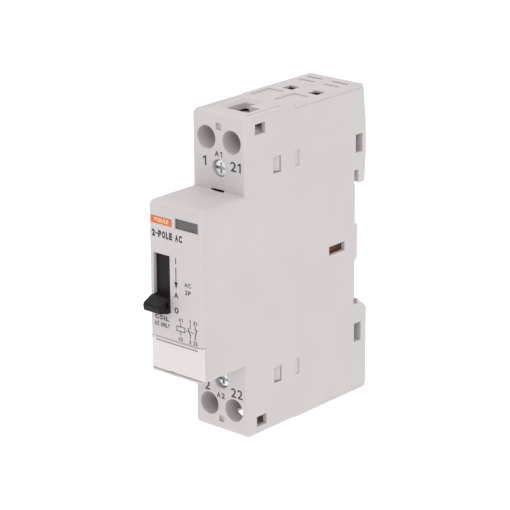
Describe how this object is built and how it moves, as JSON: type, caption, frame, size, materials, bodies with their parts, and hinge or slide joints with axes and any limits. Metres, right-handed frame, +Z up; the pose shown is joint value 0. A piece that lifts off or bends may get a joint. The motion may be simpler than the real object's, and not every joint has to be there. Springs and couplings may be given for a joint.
{
  "type": "DIN rail contactor",
  "caption": "Modular contactor for a DIN rail: switches two poles with a coil-driven carrier, with a manual selector lever, flag window and screw terminals.",
  "frame": {"origin": "centre of the recess that rests on the rail's front face, on the rail's centre line", "axes": "+X across the module to the right seen from the front, +Y into the wall behind the rail, +Z up"},
  "size_m": [0.0176, 0.0692, 0.085],
  "materials": {
    "housing_plastic": "matt, fine moulded grain",
    "label_plastic": "satin",
    "badge_orange": "satin",
    "lens_grey": "polished, smoke grey",
    "lever_black": "satin moulded",
    "guide_black": "matt",
    "card_paper": "uncoated card",
    "flag_plastic": "matt",
    "carrier_plastic": "matt, glass filled",
    "bobbin_plastic": "matt",
    "zinc_steel": "bright zinc",
    "spring_steel": "drawn wire",
    "core_steel": "stacked laminations",
    "copper_strip": "rolled copper",
    "contact_silver": "satin silver",
    "coil_wire": "enamelled copper",
    "board_epoxy": "solder mask",
    "component_body": "moulded epoxy",
    "varistor_blue": "dipped epoxy",
    "lead_sleeve": "PVC sleeve"
  },
  "bodies": {
    "root": {"badge_plate": "badge_orange", "base_housing": "housing_plastic", "board_capacitor": "component_body", "board_diodes": "component_body", "board_varistor": "varistor_blue", "coil_board": "board_epoxy", "coil_bobbin": "bobbin_plastic", "coil_lead_A1": "lead_sleeve", "coil_lead_A2": "lead_sleeve", "coil_terminal_A1": "copper_strip", "coil_terminal_A2": "copper_strip", "coil_winding": "coil_wire", "contact_bar_1": "copper_strip", "contact_bar_2": "copper_strip", "contact_bar_21": "copper_strip", "contact_bar_22": "copper_strip", "fixed_core": "core_steel", "fixed_tips": "contact_silver", "flag_pin": "spring_steel", "front_housing": "housing_plastic", "indicator_window": "lens_grey", "label_pin": "spring_steel", "lever_detent": "spring_steel", "lever_guide": "guide_black", "return_springs": "spring_steel"},
    "label_cover": {"label_cover": "label_plastic", "label_card": "card_paper"},
    "selector": {"manual_lever": "lever_black"},
    "flag": {"indicator_flag": "flag_plastic"},
    "carrier": {"contact_carrier": "carrier_plastic", "armature": "core_steel", "contact_spring_no": "spring_steel", "contact_spring_nc": "spring_steel"},
    "no_bridge": {"bridge_no": "copper_strip", "bridge_tips_no": "contact_silver"},
    "nc_bridge": {"bridge_nc": "copper_strip", "bridge_tips_nc": "contact_silver"},
    "rail_wire": {"rail_spring": "spring_steel"},
    "screw_1": {"power_screw_1": "zinc_steel"},
    "cage_1": {"clamp_cage_1": "zinc_steel"},
    "screw_21": {"power_screw_21": "zinc_steel"},
    "cage_21": {"clamp_cage_21": "zinc_steel"},
    "screw_2": {"power_screw_2": "zinc_steel"},
    "cage_2": {"clamp_cage_2": "zinc_steel"},
    "screw_22": {"power_screw_22": "zinc_steel"},
    "cage_22": {"clamp_cage_22": "zinc_steel"},
    "coil_clamp_A1": {"coil_clamp_A1": "zinc_steel"},
    "coil_screw_A1": {"coil_screw_A1": "zinc_steel"},
    "coil_clamp_A2": {"coil_clamp_A2": "zinc_steel"},
    "coil_screw_A2": {"coil_screw_A2": "zinc_steel"}
  },
  "joints": [
    {"name": "label_cover_hinge", "type": "hinge", "parent": "root", "child": "label_cover", "pos_m": [0, -0.0594, -0.0136], "axis": [-1, 0, 0], "range_deg": [0, 90]},
    {"name": "selector_slide", "type": "slide", "parent": "root", "child": "selector", "axis": [0, 0, 1], "range_m": [0, 0.0108]},
    {"name": "carrier_slide", "type": "slide", "parent": "root", "child": "carrier", "axis": [0, 1, 0], "range_m": [0, 0.003], "stiffness_N_per_m": 400, "springref_m": -0.004},
    {"name": "flag_turn", "type": "hinge", "parent": "root", "child": "flag", "pos_m": [0.004, -0.05455, 0.0169], "axis": [1, 0, 0], "range_deg": [0, 38.1]},
    {"name": "no_bridge_overtravel", "type": "slide", "parent": "carrier", "child": "no_bridge", "axis": [0, -1, 0], "range_m": [0, 0.0007], "stiffness_N_per_m": 600, "springref_m": -0.001},
    {"name": "nc_bridge_overtravel", "type": "slide", "parent": "carrier", "child": "nc_bridge", "axis": [0, 1, 0], "range_m": [0, 0.0007], "stiffness_N_per_m": 600, "springref_m": -0.001},
    {"name": "rail_wire_lift", "type": "slide", "parent": "root", "child": "rail_wire", "axis": [0, 0, 1], "range_m": [0, 0.0013], "stiffness_N_per_m": 1500, "springref_m": -0.0005},
    {"name": "cage_1_lift", "type": "slide", "parent": "root", "child": "cage_1", "axis": [0, -1, 0], "range_m": [0, 0.004]},
    {"name": "screw_1_turn", "type": "hinge", "parent": "root", "child": "screw_1", "pos_m": [-0.0042, -0.02, 0.03575], "axis": [0, 1, 0], "range_deg": [0, 2058]},
    {"name": "cage_21_lift", "type": "slide", "parent": "root", "child": "cage_21", "axis": [0, -1, 0], "range_m": [0, 0.004]},
    {"name": "screw_21_turn", "type": "hinge", "parent": "root", "child": "screw_21", "pos_m": [0.0042, -0.02, 0.03575], "axis": [0, 1, 0], "range_deg": [0, 2058]},
    {"name": "cage_2_lift", "type": "slide", "parent": "root", "child": "cage_2", "axis": [0, -1, 0], "range_m": [0, 0.004]},
    {"name": "screw_2_turn", "type": "hinge", "parent": "root", "child": "screw_2", "pos_m": [-0.0042, -0.02, -0.03575], "axis": [0, 1, 0], "range_deg": [0, 2058]},
    {"name": "cage_22_lift", "type": "slide", "parent": "root", "child": "cage_22", "axis": [0, -1, 0], "range_m": [0, 0.004]},
    {"name": "screw_22_turn", "type": "hinge", "parent": "root", "child": "screw_22", "pos_m": [0.0042, -0.02, -0.03575], "axis": [0, 1, 0], "range_deg": [0, 2058]},
    {"name": "coil_clamp_A1_slide", "type": "slide", "parent": "root", "child": "coil_clamp_A1", "axis": [0, 1, 0], "range_m": [0, 0.002]},
    {"name": "coil_screw_A1_turn", "type": "hinge", "parent": "coil_clamp_A1", "child": "coil_screw_A1", "pos_m": [0, -0.04, 0.0283], "axis": [0, 1, 0], "range_deg": [0, 1441]},
    {"name": "coil_clamp_A2_slide", "type": "slide", "parent": "root", "child": "coil_clamp_A2", "axis": [0, 1, 0], "range_m": [0, 0.002]},
    {"name": "coil_screw_A2_turn", "type": "hinge", "parent": "coil_clamp_A2", "child": "coil_screw_A2", "pos_m": [0, -0.04, -0.0283], "axis": [0, 1, 0], "range_deg": [0, 1441]}
  ],
  "couplings": [
    {"joint": "flag_turn", "follows": "carrier_slide", "rad_per_m": 221.07},
    {"joint": "screw_1_turn", "follows": "cage_1_lift", "rad_per_m": 8976},
    {"joint": "screw_21_turn", "follows": "cage_21_lift", "rad_per_m": 8976},
    {"joint": "screw_2_turn", "follows": "cage_2_lift", "rad_per_m": 8976},
    {"joint": "screw_22_turn", "follows": "cage_22_lift", "rad_per_m": 8976},
    {"joint": "coil_screw_A1_turn", "follows": "coil_clamp_A1_slide", "rad_per_m": 12566},
    {"joint": "coil_screw_A2_turn", "follows": "coil_clamp_A2_slide", "rad_per_m": 12566}
  ]
}
